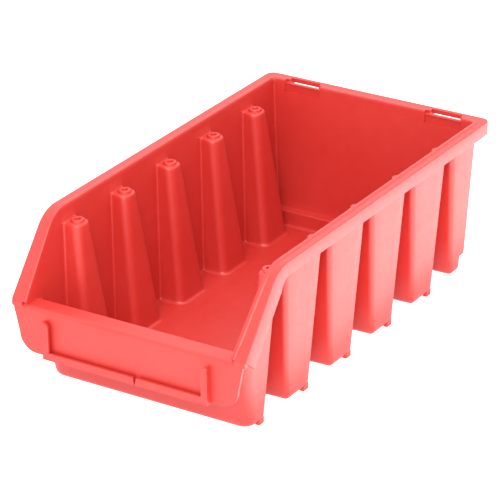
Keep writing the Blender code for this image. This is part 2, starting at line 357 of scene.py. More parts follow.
class Value:
    """A shader number that can be used in sums."""

    def __init__(self, tree: bpy.types.NodeTree, socket: bpy.types.NodeSocket) -> None:
        """Wrap a socket of a node tree."""
        self.tree = tree
        self.socket = socket

    def _math(self, operation: str, first: "Value | Number", second: "Value | Number") -> "Value":
        """Add a Math node.

        Args:
            operation: The node's operation.
            first: Its first number or value.
            second: Its second number or value.

        Returns:
            The node's result.
        """
        node = self.tree.nodes.new("ShaderNodeMath")
        node.operation = operation
        for socket, value in zip(node.inputs, (first, second)):
            if isinstance(value, Value):
                self.tree.links.new(value.socket, socket)
            else:
                socket.default_value = value
        return Value(self.tree, node.outputs[0])

    def __add__(self, other: "Value | Number") -> "Value":
        """Add."""
        return self._math("ADD", self, other)

    __radd__ = __add__

    def __sub__(self, other: "Value | Number") -> "Value":
        """Take away."""
        return self._math("SUBTRACT", self, other)

    def __rsub__(self, other: Number) -> "Value":
        """Take this away from a number."""
        return self._math("SUBTRACT", other, self)

    def __mul__(self, other: "Value | Number") -> "Value":
        """Multiply."""
        return self._math("MULTIPLY", self, other)

    __rmul__ = __mul__

    def clamp(self) -> "Value":
        """Keep between 0 and 1."""
        result = self._math("ADD", self, 0.0)
        result.socket.node.use_clamp = True
        return result


class Graph:
    """A material's node tree, with one method that adds any node."""

    def __init__(self, name: str) -> None:
        """Start a material that holds only its shader and its output."""
        self.material = bpy.data.materials.new(name)
        self.material.use_nodes = True
        self.tree = self.material.node_tree
        self.shader = self.tree.nodes["Principled BSDF"]

    def add(self, kind: str, settings: dict | None = None, **sockets: object) -> bpy.types.Node:
        """Add a node.

        Args:
            kind: The node's type.
            settings: Its settings, and a ramp's stops under "stops".
            **sockets: Values or links by socket name, with spaces as underscores.

        Returns:
            The node.
        """
        node = self.tree.nodes.new(kind)
        settings = dict(settings or {})
        stops = settings.pop("stops", None)
        for key, value in settings.items():
            setattr(node, key, value)
        if stops:
            ramp = node.color_ramp
            while len(ramp.elements) < len(stops):
                ramp.elements.new(0.5)
            for element, (place, colour) in zip(ramp.elements, stops):
                element.position = place
                element.color = colour
        for key, value in sockets.items():
            self.feed(node.inputs[key.replace("_", " ")], value)
        return node

    def feed(self, socket: bpy.types.NodeSocket, value: object) -> None:
        """Set a socket to a value, or link it to another socket.

        Args:
            socket: The socket to feed.
            value: A plain value, a socket, or a wrapped socket.
        """
        if isinstance(value, Value):
            value = value.socket
        if isinstance(value, bpy.types.NodeSocket):
            self.tree.links.new(value, socket)
        else:
            socket.default_value = value

    def noise(self, place: bpy.types.NodeSocket, scale: float, detail: float = 3.0) -> Value:
        """Give a noise value.

        Args:
            place: The coordinates.
            scale: How many features fit in a metre.
            detail: How many finer layers it has.

        Returns:
            The noise, about 0.5.
        """
        node = self.add("ShaderNodeTexNoise", Vector=place, Scale=scale, Detail=detail, Roughness=0.55)
        return Value(self.tree, node.outputs["Fac"])

    def colour_mix(self, share: Value, first: object, second: object) -> bpy.types.NodeSocket:
        """Blend two colours.

        Args:
            share: How far to go from the first to the second.
            first: The first colour, or its socket.
            second: The second colour, or its socket.

        Returns:
            The blend's colour socket.
        """
        node = self.tree.nodes.new("ShaderNodeMix")
        node.data_type = "RGBA"
        self.feed(node.inputs[0], share)
        self.feed(node.inputs[6], first)
        self.feed(node.inputs[7], second)
        return node.outputs[2]


@dataclass(frozen=True)
class MouldedRed:
    """Red polypropylene with a satin moulded skin."""

    name: str = "moulded_red_polypropylene"
    colour: tuple[float, float, float, float] = (0.41, 0.016, 0.011, 1.0)
    pale: tuple[float, float, float, float] = (0.45, 0.025, 0.020, 1.0)
    roughness: float = 0.46
    grain: float = 0.10

    def build(self) -> bpy.types.Material:
        """Make the material.

        Returns:
            The material.
        """
        graph = Graph(self.name)
        place = graph.add("ShaderNodeTexCoord").outputs["Object"]
        cloud = graph.noise(place, 26.0, 3.0)
        fine = graph.noise(place, 1500.0, 2.0)
        skin = graph.noise(place, 420.0, 4.0)
        streaks = graph.add("ShaderNodeMapping", Vector=place, Scale=(1.0, 0.12, 1.0)).outputs[0]
        flow = graph.noise(streaks, 210.0, 3.0)
        share = ((cloud - 0.5) * 1.2 + (flow - 0.5) * 0.6 + 0.35).clamp()
        graph.feed(graph.shader.inputs["Base Color"], graph.colour_mix(share, self.colour, self.pale))
        rough = (skin - 0.5) * 0.16 + (flow - 0.5) * 0.08 + self.roughness
        graph.feed(graph.shader.inputs["Roughness"], rough)
        height = fine * 0.35 + skin * 0.65
        bump = graph.add("ShaderNodeBump", None, Strength=self.grain, Distance=0.0002, Height=height)
        graph.feed(graph.shader.inputs["Normal"], bump.outputs[0])
        graph.shader.inputs["IOR"].default_value = 1.52
        return graph.material


# --------------------------------------------------------------------------------------------------
# The bin's parts
# --------------------------------------------------------------------------------------------------


@dataclass
class Dip:
    """The line of the rim's top: level along the side, then bent down to the low front."""

    height: float
    corner_y: float = -77.1
    front_y: float = -103.6
    front_z: float = 41.6
    radius: float = 16.0

    def __post_init__(self) -> None:
        """Work out the bend."""
        run = self.corner_y - self.front_y
        drop = self.height - self.front_z
        self.angle = math.atan2(drop, run)
        self.tangent = self.radius * math.tan(self.angle / 2)
        self.start_y = self.corner_y + self.tangent
        self.end_y = self.corner_y - self.tangent * math.cos(self.angle)

    def top(self, y: float) -> float:
        """Give the height of the rim's top.

        Args:
            y: The place along the side.

        Returns:
            The height.
        """
        if y >= self.start_y:
            return self.height
        if y >= self.end_y:
            away = self.start_y - y
            return self.height - self.radius + math.sqrt(self.radius ** 2 - away ** 2)
        return self.height - (self.corner_y - y) * math.tan(self.angle)

    def normal(self, y: float) -> Point2:
        """Give the outward normal of the rim's top.

        Args:
            y: The place along the side.

        Returns:
            The normal's Y and Z.
        """
        if y >= self.start_y:
            return 0.0, 1.0
        if y >= self.end_y:
            turned = math.asin((self.start_y - y) / self.radius)
            return -math.sin(turned), math.cos(turned)
        return -math.sin(self.angle), math.cos(self.angle)

    def slope_share(self, y: float) -> float:
        """Give how far the rim has turned into the dip.

        Args:
            y: The place along the side.

        Returns:
            A share from 0, level, to 1, as steep as the dip.
        """
        ny, _ = self.normal(y)
        return math.asin(-ny) / self.angle


@dataclass
class Walls:
    """Where the tub's sheets stand at each height."""

    thickness: float = 1.6
    side_foot: float = 50.8
    side_lean: float = 0.061
    rear_foot: float = 97.6
    rear_lean: float = 0.050
    step_depth: float = 4.0
    step_height: float = 10.4
    front_foot: float = -88.4
    front_lean: float = 0.195
    underside: float = 1.2
    corner_front: float = 6.0
    corner_rear: float = 2.5

    def side(self, z: float, outside: bool) -> float:
        """Give the side wall's X on one face."""
        return self.side_foot + self.side_lean * z - (0.0 if outside else self.thickness)

    def front(self, z: float, outside: bool) -> float:
        """Give the front wall's Y on one face."""
        return self.front_foot - self.front_lean * (z - self.underside) + (0.0 if outside else self.thickness)

    def rear(self, z: float, outside: bool, above_step: bool) -> float:
        """Give the rear wall's Y on one face.

        Args:
            z: The height.
            outside: True for the outer face.
            above_step: True above the stacking step.

        Returns:
            The wall's Y.
        """
        step = 0.0 if above_step else self.step_depth
        return self.rear_foot + self.rear_lean * z - step - (0.0 if outside else self.thickness)


@dataclass
class Ribs:
    """The hollow ribs of a side wall, wide at the foot and narrow at the cap."""

    centres: list[float]
    cap: float = 66.8
    foot_mouth: float = 10.6
    top_mouth: float = 3.9
    foot_face: float = 10.2
    top_face: float = 5.6
    drift: float = -0.6
    face_foot_x: float = 37.6
    face_lean: float = 0.109
    sheet: float = 1.5
    bay_round: float = 0.9
    edge_round: float = 3.4
    cap_round: float = 1.2
    arc_steps: int = 5

    def half_outline(self, z: float, outside: bool, wall_x: float, spread: float) -> list[Point2]:
        """Lay out half of a rib in plan, from the wall to the middle of its face.

        Args:
            z: The height.
            outside: True for the face of the sheet that is outside the tub.
            wall_x: X of the wall on that face.
            spread: How much wider than plain the rib is, for roundings at the foot and the cap.

        Returns:
            Points as X and the distance from the rib's centre, starting on the wall.
        """
        share = z / self.cap
        mouth = mix(self.foot_mouth, self.top_mouth, share) + spread
        face = mix(self.foot_face, self.top_face, share) + spread
        face_x = self.face_foot_x + self.face_lean * z - spread
        bay, edge = self.bay_round - spread, self.edge_round + spread
        if outside:
            mouth, face, face_x = mouth - self.sheet, face - self.sheet, face_x + self.sheet
            bay, edge = bay + self.sheet, edge - self.sheet
        bay = max(bay, 0.25)
        edge = max(edge, 0.25)
        wall = (wall_x, mouth)
        nose = (face_x, face)
        outline = fillet((wall_x, mouth + 5.0), wall, nose, bay, self.arc_steps)
        outline += fillet(wall, nose, (face_x, 0.0), edge, self.arc_steps)
        inner_end = outline[-1][1]
        outline += [(face_x, inner_end * 0.5), (face_x, 0.0)]
        return outline


@dataclass
class Level:
    """One ring of the tub: a height on each face, and how the ring differs from the plain wall."""

    z_in: float
    z_out: float
    inset_in: float = 0.0
    inset_out: float = 0.0
    above_step: bool = True
    rib_spread: float = 0.0
    ribs: bool = True
    wall_gap_in: float = 0.0
    step_share: float = 1.0


@dataclass
class Tub:
    """The floor, the four walls, the ribs and the stacking step as one sheet."""

    walls: Walls
    ribs: Ribs
    dip: Dip
    floor_top: float = 2.8
    foot_round: float = 3.0
    inner_round: float = 1.4
    shelf_join: float = 39.8
    top_depth: float = 1.5
    cheek_front: float = -102.6
    lead_steps: int = 14
    rib_clearance: float = 0.2
    cap_clearance: float = 0.9
    least_rise: float = 0.1

    def levels(self) -> list[Level]:
        """List the rings from the floor's edge to the top.

        Returns:
            The rings, lowest first.
        """
        walls, ribs = self.walls, self.ribs
        rings = []
        under, radius, inner = walls.underside, self.foot_round, self.inner_round
        rings.append(Level(self.floor_top, under, inner + 0.9, radius + 0.9, above_step=False))
        for degrees in (90, 72, 54, 36, 18, 0):
            turn = math.radians(degrees)
            rings.append(Level(self.floor_top + inner * (1 - math.sin(turn)),
                               under + radius * (1 - math.sin(turn)),
                               inner * (1 - math.cos(turn)), radius * (1 - math.cos(turn)), above_step=False))
        top_in, top_out = walls.step_height, walls.step_height - 1.4
        rings.append(Level(6.5, 6.0, above_step=False))
        rings.append(Level(top_in - 0.5, top_out - 0.15, step_share=0.0))
        rings.append(Level(top_in - 0.12, top_out - 0.03, step_share=0.09))
        rings.append(Level(top_in, top_out, step_share=0.2))
        rings.append(Level(top_in, top_out, step_share=0.86))
        rings.append(Level(top_in + 0.15, top_out + 0.12, step_share=0.97))
        rings.append(Level(top_in + 0.6, top_out + 0.6, step_share=1.0))
        for z in (15.0, 22.0, 30.0, self.shelf_join, 47.0, 54.0, 60.0, 64.5):
            rings.append(Level(z, z))
        rounding, sheet = ribs.cap_round, ribs.sheet
        for degrees in (0, 22, 45, 68, 90):
            turn = math.radians(degrees)
            drop = rounding * (1 - math.sin(turn))
            rings.append(Level(ribs.cap - drop, ribs.cap - sheet - drop * 0.3,
                               rib_spread=-rounding * (1 - math.cos(turn))))
        rings.append(Level(ribs.cap, ribs.cap - sheet, ribs=False, wall_gap_in=0.7))
        rings.append(Level(ribs.cap + 0.2, ribs.cap - sheet, ribs=False, wall_gap_in=0.2))
        rings.append(Level(ribs.cap + 0.8, ribs.cap - 0.8, ribs=False))
        rings.append(Level(self.dip.height - self.top_depth, self.dip.height - self.top_depth, ribs=False))
        return rings

    def join_index(self, rings: Sequence[Level]) -> int:
        """Give the number of the ring at which the front wall ends under the shelf."""
        return next(i for i, ring in enumerate(rings) if ring.z_in == self.shelf_join)

    def front_places(self, ring: Level, outside: bool) -> list[Point3]:
        """Lay out the front wall and its corner.

        Args:
            ring: The ring.
            outside: True for the outer face.

        Returns:
            The places from the middle to the side wall.
        """
        walls = self.walls
        z = ring.z_out if outside else ring.z_in
        inset = ring.inset_out if outside else ring.inset_in
        side = walls.side(z, outside) - inset
        front = walls.front(z, outside) + inset
        radius = walls.corner_front - (0.0 if outside else walls.thickness) - inset
        corner = fillet((0.0, front), (side, front), (side, 0.0), max(radius, LEAST_RADIUS), 6)
        flat = [(corner[0][0] * share, front) for share in (0.0, 0.25, 0.5, 0.75, 0.92)]
        return [(x, y, z) for x, y in flat + corner]

    def side_run(self, ring: Level, outside: bool) -> list[Point2]:
        """Lay out the side wall's ribs and bays in plan, without the ends at the corners.

        Args:
            ring: The ring.
            outside: True for the outer face.

        Returns:
            The points from front to rear.
        """
        walls, ribs = self.walls, self.ribs
        z = ring.z_out if outside else ring.z_in
        inset = ring.inset_out if outside else ring.inset_in
        wall_x = walls.side(z, outside) - inset
        spread = ring.rib_spread + inset
        plan = ribs.half_outline(min(z, ribs.cap), outside, wall_x, spread)
        if not ring.ribs:
            line = wall_x - (0.0 if outside else ring.wall_gap_in)
            reach = plan[0][1]
            last = len(plan) - 1
            plan = [(line if i else wall_x, reach * (1 - i / last)) for i in range(last + 1)]
        run: list[Point2] = []
        for index, foot_centre in enumerate(ribs.centres):
            centre = foot_centre + ribs.drift * min(z, ribs.cap) / ribs.cap
            front_half = [(x, centre - away) for x, away in plan]
            rear_half = [(x, centre + away) for x, away in reversed(plan[:-1])]
            if index:
                start = run[-1][1]
                stop = front_half[0][1]
                run += [(front_half[0][0], mix(start, stop, share)) for share in (0.3, 0.5, 0.7)]
            run += front_half + rear_half
        return run

    def side_places(self, ring: Level, outside: bool, above_join: bool) -> list[Point3]:
        """Lay out the side wall, the rear corner and the rear wall up to the middle.

        Args:
            ring: The ring.
            outside: True for the outer face.
            above_join: True where the ring follows the dip.

        Returns:
            The places from the front corner's end onwards.
        """
        walls = self.walls
        z = ring.z_out if outside else ring.z_in
        inset = ring.inset_out if outside else ring.inset_in
        run = self.side_run(ring, outside)
        first = self.front_end_y(ring, outside)
        steps = self.lead_steps
        lead = [(run[0][0], mix(first, run[0][1], i / steps)) for i in range(steps)]
        side = run[0][0]
        low = walls.rear(z, outside, False)
        high = walls.rear(z, outside, True)
        rear = (mix(low, high, ring.step_share) if ring.above_step else low) - inset
        radius = walls.corner_rear - (0.0 if outside else walls.thickness) - inset
        corner = fillet((side, 0.0), (side, rear), (0.0, rear), max(radius, LEAST_RADIUS), 7)
        stop = corner[0][1]
        tail = [(side, mix(run[-1][1], stop, share)) for share in (0.3, 0.65)]
        back = [(corner[-1][0] * share, rear) for share in (0.92, 0.75, 0.5, 0.25, 0.0)]
        plan = lead + run + tail + corner + back
        places = []
        for x, y in plan:
            height = z
            if above_join:
                height = self.dipped(z, y)
            lean = walls.side_lean * (height - z) if y < stop else 0.0
            places.append((x + lean, y, height))
        return places

    def dipped(self, z: float, y: float) -> float:
        """Lower a height so that it keeps its share of the way from the shelf to the dipping top.

        Args:
            z: The height where the top is level.
            y: The place along the side.

        Returns:
            The height there.
        """
        level_top = self.dip.height - self.top_depth
        _, nz = self.dip.normal(y)
        here = self.dip.top(y) - self.top_depth / nz
        if y > self.ribs.centres[0] - self.ribs.top_mouth - self.rib_clearance:
            if z <= self.ribs.cap + self.cap_clearance:
                return z
            return min(z, here)
        share = (z - self.shelf_join) / (level_top - self.shelf_join)
        return mix(self.shelf_join, max(here, self.shelf_join + self.least_rise), share)

    def front_end_y(self, ring: Level, outside: bool) -> float:
        """Find where the front corner meets the side wall.

        Args:
            ring: The ring.
            outside: True for the outer face.

        Returns:
            The place's Y.
        """
        z = min(ring.z_out if outside else ring.z_in, self.shelf_join)
        inset = ring.inset_out if outside else ring.inset_in
        walls = self.walls
        radius = walls.corner_front - (0.0 if outside else walls.thickness) - inset
        return walls.front(z, outside) + inset + max(radius, LEAST_RADIUS)

    def build(self) -> bpy.types.Object:
        """Make the tub.

        Returns:
            The tub as one closed solid.
        """
        shell = Shell()
        rings = self.levels()
        join = self.join_index(rings)
        rows: list[list[int]] = []
        for index, ring in enumerate(rings):
            above = index > join
            pairs = list(zip(self.side_places(ring, False, above), self.side_places(ring, True, above)))
            if not above:
                front = list(zip(self.front_places(ring, False), self.front_places(ring, True)))
                pairs = front[:-1] + pairs
            rows.append(shell.row(pairs))
        front_count = len(self.front_places(rings[0], False)) - 1
        for index in range(len(rings) - 1):
            low, high = rows[index], rows[index + 1]
            if index == join:
                low = low[front_count:]
            shell.strip(low, high)
        self.add_cheek(shell, rings, rows, join, front_count)
        floor = rows[0]
        shell.faces.append(tuple(reversed(floor)))
        shell.mirror()
        return shell.solid("bin_tub")

    def add_cheek(self, shell: Shell, rings: Sequence[Level], rows: Sequence[Sequence[int]], join: int,
                  front_count: int) -> None:
        """Carry the side wall forward over the shelf, under the dip.

        Args:
            shell: The sheet to add to.
            rings: The tub's rings.
            rows: The rings' point numbers.
            join: The ring at the shelf.
            front_count: How many points of a full ring come before the side wall.
        """
        column = [rows[join][front_count]] + [row[0] for row in rows[join + 1:]]
        steps = 5
        start = self.front_end_y(rings[join], True)
        for step in range(1, steps + 1):
            y = mix(start, self.cheek_front, step / steps)
            pairs = []
            for ring in rings[join:]:
                z = self.dipped(ring.z_in, y) if ring is not rings[join] else self.shelf_join
                pairs.append(((self.walls.side(z, False), y, z), (self.walls.side(z, True), y, z)))
            fresh = shell.row(pairs)
            shell.strip(column, fresh)
            column = fresh


@dataclass
class Rim:
    """The flange round the top with a raised bead along the wall and a turned-down lip outside."""

    walls: Walls
    dip: Dip
    half_width: float
    rear_y: float
    lip: float = 6.6
    skirt: float = 9.4
    wall_cover: float = 0.06
    front_tip: float = -103.2
    corner_inner: float = 2.0
    corner_outer: float = 4.0
    slot_inner: float = 29.9
    slot_outer: float = 45.7
    slot_front: float = 101.3
    slot_rear: float = 103.9
    bar_bottom: float = 71.7
    sunk_top: float = 72.7
    sunk_inner: float = 28.1
    sunk_outer: float = 47.2
    CUT_FOOT: ClassVar[float] = 60.0
    CUT_TOP: ClassVar[float] = 80.0
    CUT_FRONT: ClassVar[float] = 95.0
    CUT_BACK: ClassVar[float] = 110.0

    def section(self, lip: float) -> list[tuple[Edge, float, float]]:
        """Lay out the rim's section.

        Args:
            lip: The lip's depth.

        Returns:
            For each point, the edge it keeps to, its distance from that edge, and its depth under the top.
        """
        wall, out = Edge.WALL, Edge.OUTSIDE
        return [
            (wall, 0.0, 2.05), (wall, 0.0, 0.50), (wall, 0.12, 0.18), (wall, 0.45, 0.0), (wall, 1.55, 0.0),
            (wall, 1.85, 0.08), (wall, 2.02, 0.24), (wall, 2.20, 0.34), (wall, 2.55, 0.34), (out, 1.10, 0.10),
            (out, 0.55, 0.04), (out, 0.24, 0.10), (out, 0.06, 0.30), (out, 0.0, 0.62), (out, 0.0, lip - 0.55),
            (out, 0.12, lip - 0.18), (out, 0.45, lip), (out, 1.05, lip), (out, 1.38, lip - 0.18),
            (out, 1.50, lip - 0.55), (out, 1.60, 3.2), (out, 1.78, 2.35), (out, 2.4, 2.1), (wall, 1.9, 2.05),
            (wall, 0.9, 2.05),
        ]

    def side_loop(self, y: float) -> list[Point3]:
        """Place the section at a spot along the right side.

        Args:
            y: The spot.

        Returns:
            The loop.
        """
        top = self.dip.top(y)
        ny, nz = self.dip.normal(y)
        lip = mix(self.lip, self.skirt, self.dip.slope_share(y))
        loop = []
        for edge, away, depth in self.section(lip):
            z = top - nz * depth
            x = self.half_width - away
            if edge is Edge.WALL:
                x = self.walls.side(z, False) - self.wall_cover + away
            loop.append((x, y - ny * depth, z))
        return loop

    def rear_loop(self, degrees: float | None, x_share: float = 1.0) -> list[Point3]:
        """Place the section round the rear corner, or along the rear wall.

        Args:
            degrees: How far round the corner, or None for the straight rear rim.
            x_share: On the straight, the share of the way from the middle to the corner.

        Returns:
            The loop.
        """
        height = self.dip.height
        inner_x = self.walls.side(height, False) - self.wall_cover
        inner_y = self.walls.rear(height, False, True) - self.wall_cover
        loop = []
        for edge, away, depth in self.section(self.lip):
            if edge is Edge.WALL:
                x, y = inner_x + away, inner_y + away
            else:
                x, y = self.half_width - away, self.rear_y - away
            share = (x - inner_x) / (self.half_width - inner_x)
            radius = mix(self.corner_inner, self.corner_outer, share)
            if degrees is None:
                loop.append(((x - radius) * x_share, y, height - depth))
            else:
                turn = math.radians(degrees)
                loop.append((x - radius + radius * math.cos(turn), y - radius + radius * math.sin(turn),
                             height - depth))
        return loop

    def stations(self) -> list[list[Point3]]:
        """List the loops of the right half.

        Returns:
            The loops from the front tip to the middle of the rear.
        """
        dip = self.dip
        steps = 8
        spots = [mix(self.front_tip, dip.end_y, i / steps) for i in range(steps)]
        bend = [dip.start_y - dip.radius * math.sin(dip.angle * (1 - i / 12)) for i in range(13)]
        spots += bend
        rear_start = self.rear_y - self.corner_outer
        spots += [mix(dip.start_y, rear_start, i / 10) for i in range(1, 10)]
        loops = [self.side_loop(y) for y in spots]
        loops += [self.rear_loop(90 * i / 9) for i in range(10)]
        loops += [self.rear_loop(None, share) for share in (0.9, 0.7, 0.45, 0.2)]
        return loops

    def build(self) -> bpy.types.Object:
        """Make the rim with its hanging slots.

        Returns:
            The rim as one closed solid.
        """
        right = self.stations()
        left = [[(-x, y, z) for x, y, z in loop] for loop in reversed(right)]
        rim = loft("bin_rim", right + left, 32.0)
        cutters = []
        for side in Side:
            x0, x1 = sorted((side.value * self.slot_inner, side.value * self.slot_outer))
            low = (x0, self.slot_front, self.CUT_FOOT)
            cutters.append(block("slot", low, (x1, self.slot_rear, self.CUT_TOP)))
            low = (x0, self.slot_rear - 1.0, self.CUT_FOOT)
            cutters.append(block("window", low, (x1, self.CUT_BACK, self.bar_bottom)))
            x0, x1 = sorted((side.value * self.sunk_inner, side.value * self.sunk_outer))
            low = (x0, self.CUT_FRONT, self.sunk_top)
            cutters.append(block("sunk", low, (x1, self.slot_front + 0.5, self.CUT_TOP)))
        carve(rim, cutters)
        return rim


@dataclass
class FrontShelf:
    """The shelf over the low front wall, bent down in front into the label plate."""

    walls: Walls
    top: float = 40.6
    front: float = -103.5
    thickness: float = 1.6
    bend: float = 1.6
    shelf_half: float = 58.2
    plate_half_top: float = 58.2
    plate_half_shoulder: float = 55.3
    shoulder: float = 28.2
    bottom: float = 19.2
    corner: float = 8.4
    ear_inner: float = 53.5
    ear_outer: float = 58.9

    def half_width(self, z: float) -> float:
        """Give the plate's half width.

        Args:
            z: The height.

        Returns:
            The half width there.
        """
        centre = self.bottom + self.corner
        if z >= centre:
            share = (z - centre) / (self.top - centre)
            return mix(self.plate_half_shoulder, self.plate_half_top, share)
        drop = min(centre - z, self.corner)
        return self.plate_half_shoulder - self.corner + math.sqrt(self.corner ** 2 - drop ** 2)

    def profile(self) -> list[tuple[Point2, Point2, float]]:
        """List the rows of the sheet, from the shelf's rear to the plate's foot.

        Returns:
            For each row, the outer place, the inner place and the half width.
        """
        rows = []
        rear = self.walls.front(self.top, False) + 0.05
        thin, radius = self.thickness, self.bend
        for share in (0.0, 0.3, 0.65, 1.0):
            y = mix(rear, self.front + radius, share)
            rows.append(((y, self.top), (y, self.top - thin), self.shelf_half))
        for degrees in (22.5, 45, 67.5, 90):
            turn = math.radians(degrees)
            y = self.front + radius - radius * math.sin(turn)
            z = self.top - radius + radius * math.cos(turn)
            inner = (self.front + max(radius, thin), self.top - max(radius, thin))
            rows.append(((y, z), inner, self.half_width(z)))
        heights = [34.0, self.shoulder + 1.5]
        centre = self.bottom + self.corner
        heights += [centre - self.corner * math.sin(math.radians(a)) for a in range(0, 91, 9)]
        for z in heights:
            half = self.half_width(z)
            rows.append(((self.front, z), (self.front + thin, z), half))
        return rows

    def build(self) -> bpy.types.Object:
        """Make the shelf and the plate.

        Returns:
            Both as one closed solid.
        """
        shell = Shell()
        rows = []
        for outer, inner, half in self.profile():
            spots = [half * share for share in (0.0, 0.3, 0.6, 0.8, 0.93, 1.0)]
            rows.append(shell.row([((x, *inner), (x, *outer)) for x in spots]))
        for low, high in zip(rows, rows[1:]):
            shell.strip(low, high)
        shell.mirror()
        obj = shell.solid("bin_front_shelf")
        soften(obj, 0.45)
        return obj

    def ear(self, side: Side, dip: Dip) -> bpy.types.Object:
        """Make the wedge that joins the plate to the end of the dipping rim.

        Args:
            side: The side it stands on.
            dip: The line of the rim's top.

        Returns:
            The wedge.
        """
        front, rear, foot = self.front + 0.05, self.front + 4.5, self.top - self.thickness + 0.3
        outline = [(front, foot), (front, dip.top(front) - 0.35), (rear, dip.top(rear) - 0.35), (rear, foot)]
        loops = [[(side.value * x, y, z) for y, z in outline] for x in (self.ear_inner, self.ear_outer)]
        obj = loft(f"rim_ear_{side.word}", loops)
        soften(obj, 0.25)
        return obj


@dataclass
class LabelHolder:
    """The guides and sills that hold a label against the plate."""

    plate_front: float = -103.5
    leaf: float = 1.3
    web: float = 1.2
    guide_round: float = 2.6

    def guide(self, side: Side) -> bpy.types.Object:
        """Make an upright guide.

        Args:
            side: The side it stands on.

        Returns:
            The guide.
        """
        low, high = node_box(f"{side.word}_label_guide")
        near, far = sorted((abs(low.x), abs(high.x)))
        front, back = low.y, self.plate_front + 0.3
        sill_low, _ = node_box(f"{side.word}_label_sill")
        foot = sill_low.z + 0.02
        inner, step = far - self.web, front + self.leaf
        section = [(near, front), (far, front), (far, back), (inner, back), (inner, step), (near, step)]
        loops = [[(side.value * x, y, foot) for x, y in section]]
        for degrees in range(0, 91, 15):
            turn = math.radians(degrees)
            z = high.z - self.guide_round * (1 - math.sin(turn))
            edge = min(near + self.guide_round * (1 - math.cos(turn)), inner - 0.2)
            loops.append([(side.value * (edge if x == near else x), y, z) for x, y in section])
        obj = loft(f"label_guide_{side.word}", loops)
        soften(obj, 0.3)
        return obj

    def sill(self, side: Side) -> bpy.types.Object:
        """Make a sill, whose inner end is cut aslant at the break.

        Args:
            side: The side it lies on.

        Returns:
            The sill.
        """
        low, high = node_box(f"{side.word}_label_sill")
        front, back = low.y + 0.05, self.plate_front + 0.3
        x0, x1 = low.x, high.x
        lean, inset = 0.55, 0.06
        web_top = low.z + self.web
        if side is Side.LEFT:
            x0 += inset
        else:
            x1 -= inset
        if side is Side.LEFT:
            leaf = [(x0, low.z), (x1 + lean, low.z), (x1, high.z), (x0, high.z)]
            web = [(x0, low.z), (x1 + lean, low.z), (x1 + lean * 0.6, web_top), (x0, web_top)]
        else:
            leaf = [(x0 - lean, low.z), (x1, low.z), (x1, high.z), (x0, high.z)]
            web = [(x0 - lean, low.z), (x1, low.z), (x1, web_top), (x0 - lean * 0.6, web_top)]
        loops = []
        for y, shape in ((front, leaf), (front + self.leaf, leaf), (front + self.leaf, web), (back, web)):
            loops.append([(x, y, z) for x, z in shape])
        obj = loft(f"label_sill_{side.word}", loops)
        soften(obj, 0.3)
        return obj


@dataclass
class Foot:
    """A small foot under a panel."""

    side: Side
    number: int
    reach: float = 3.3

    def build(self) -> bpy.types.Object:
        """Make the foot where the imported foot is.

        Returns:
            The foot.
        """
        low, high = node_box(f"{self.side.word}_foot_{self.number}")
        loops = []
        for z, taper in ((low.z, 0.35), (low.z + 0.35, 0.0), (self.reach, 0.0)):
            x0, x1, y0, y1 = low.x + taper, high.x - taper, low.y + taper, high.y - taper
            loops.append([(x0, y0, z), (x1, y0, z), (x1, y1, z), (x0, y1, z)])
        obj = loft(f"foot_{self.side.word}_{self.number}", loops)
        soften(obj, 0.25)
        return obj


@dataclass
class RibBoss:
    """A low ring on a rib's cap."""

    side: Side
    number: int
    centre_y: float
    cap: float
    centre_x: float = 48.7
    shift_y: float = -0.6
    radius: float = 3.0
    bore: float = 1.4
    height: float = 1.25
    sides: int = 32

    def build(self) -> bpy.types.Object:
        """Turn the ring.

        Returns:
            The ring.
        """
        rounding = 0.4
        top = self.cap + self.height
        profile = [(self.radius + 0.1, self.cap - 0.4), (self.radius + 0.1, self.cap + 0.05),
                   (self.radius, self.cap + 0.25), (self.radius, top - rounding),
                   (self.radius - 0.12, top - 0.12), (self.radius - rounding, top),
                   (self.bore + rounding, top), (self.bore + 0.12, top - 0.12), (self.bore, top - rounding),
                   (self.bore, self.cap + 0.15), (0.35, self.cap + 0.1)]
        loops = []
        for radius, z in profile:
            loop = []
            for step in range(self.sides):
                turn = 2 * math.pi * step / self.sides
                loop.append((self.side.value * self.centre_x + radius * math.cos(turn),
                             self.centre_y + self.shift_y + radius * math.sin(turn), z))
            loops.append(loop)
        return loft(f"rib_boss_{self.side.word}_{self.number}", loops)


# --------------------------------------------------------------------------------------------------
# Studio
# --------------------------------------------------------------------------------------------------


@dataclass(frozen=True)
class SoftBox:
    """A square studio light."""

    name: str
    place: Point3
    aim: Point3
    size: float
    power: float

    def build(self) -> None:
        """Add the light."""
        data = bpy.data.lights.new(self.name, "AREA")
        data.shape = "SQUARE"
        data.size = self.size
        data.energy = self.power
        obj = bpy.data.objects.new(self.name, data)
        obj.location = self.place
        way = Vector(self.aim) - Vector(self.place)
        obj.rotation_euler = way.to_track_quat("-Z", "Y").to_euler()
        bpy.context.scene.collection.objects.link(obj)


